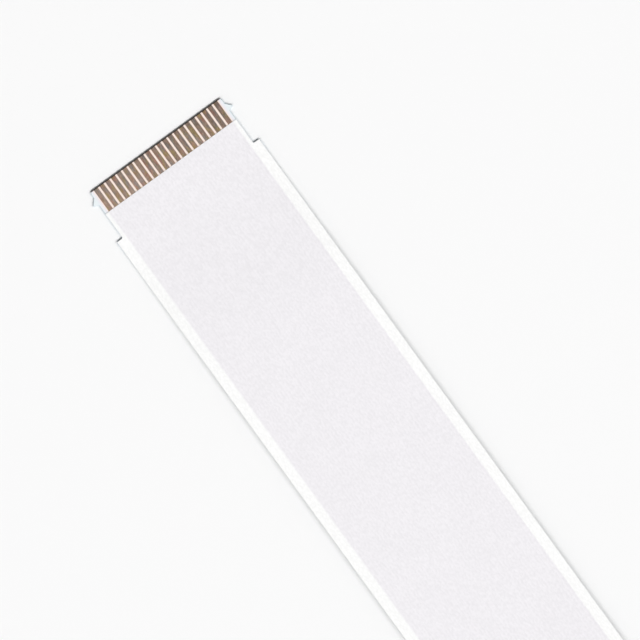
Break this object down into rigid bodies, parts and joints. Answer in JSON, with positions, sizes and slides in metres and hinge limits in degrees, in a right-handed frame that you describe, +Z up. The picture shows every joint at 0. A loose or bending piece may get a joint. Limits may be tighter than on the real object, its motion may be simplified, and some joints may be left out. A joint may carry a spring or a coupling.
{
  "type": "flat flex cable",
  "caption": "Flat flexible cable of flat tinned conductors laminated between two white films, with a stiffened, eared contact tongue at each end.",
  "frame": {"origin": "middle of the cable's length and width, on the plane of the two stiffeners' undersides, which the cable rests on", "axes": "+X along the cable towards the far tongue, +Y across it, +Z up through its layers, out of the face with the bare contacts"},
  "size_m": [0.152, 0.025, 0.0004],
  "materials": {
    "film": "white polyester film, satin",
    "contact": "tinned flat copper, rolled, slightly dull",
    "stiffener": "light blue polyester film, smooth"
  },
  "bodies": {
    "root": {"bottom_film": "film", "top_film": "film", "near_stiffener": "stiffener", "far_stiffener": "stiffener", "conductor_01": "contact", "conductor_02": "contact", "conductor_03": "contact", "conductor_04": "contact", "conductor_05": "contact", "conductor_06": "contact", "conductor_07": "contact", "conductor_08": "contact", "conductor_09": "contact", "conductor_10": "contact", "conductor_11": "contact", "conductor_12": "contact", "conductor_13": "contact", "conductor_14": "contact", "conductor_15": "contact", "conductor_16": "contact", "conductor_17": "contact", "conductor_18": "contact", "conductor_19": "contact", "conductor_20": "contact", "conductor_21": "contact", "conductor_22": "contact"}
  },
  "joints": []
}
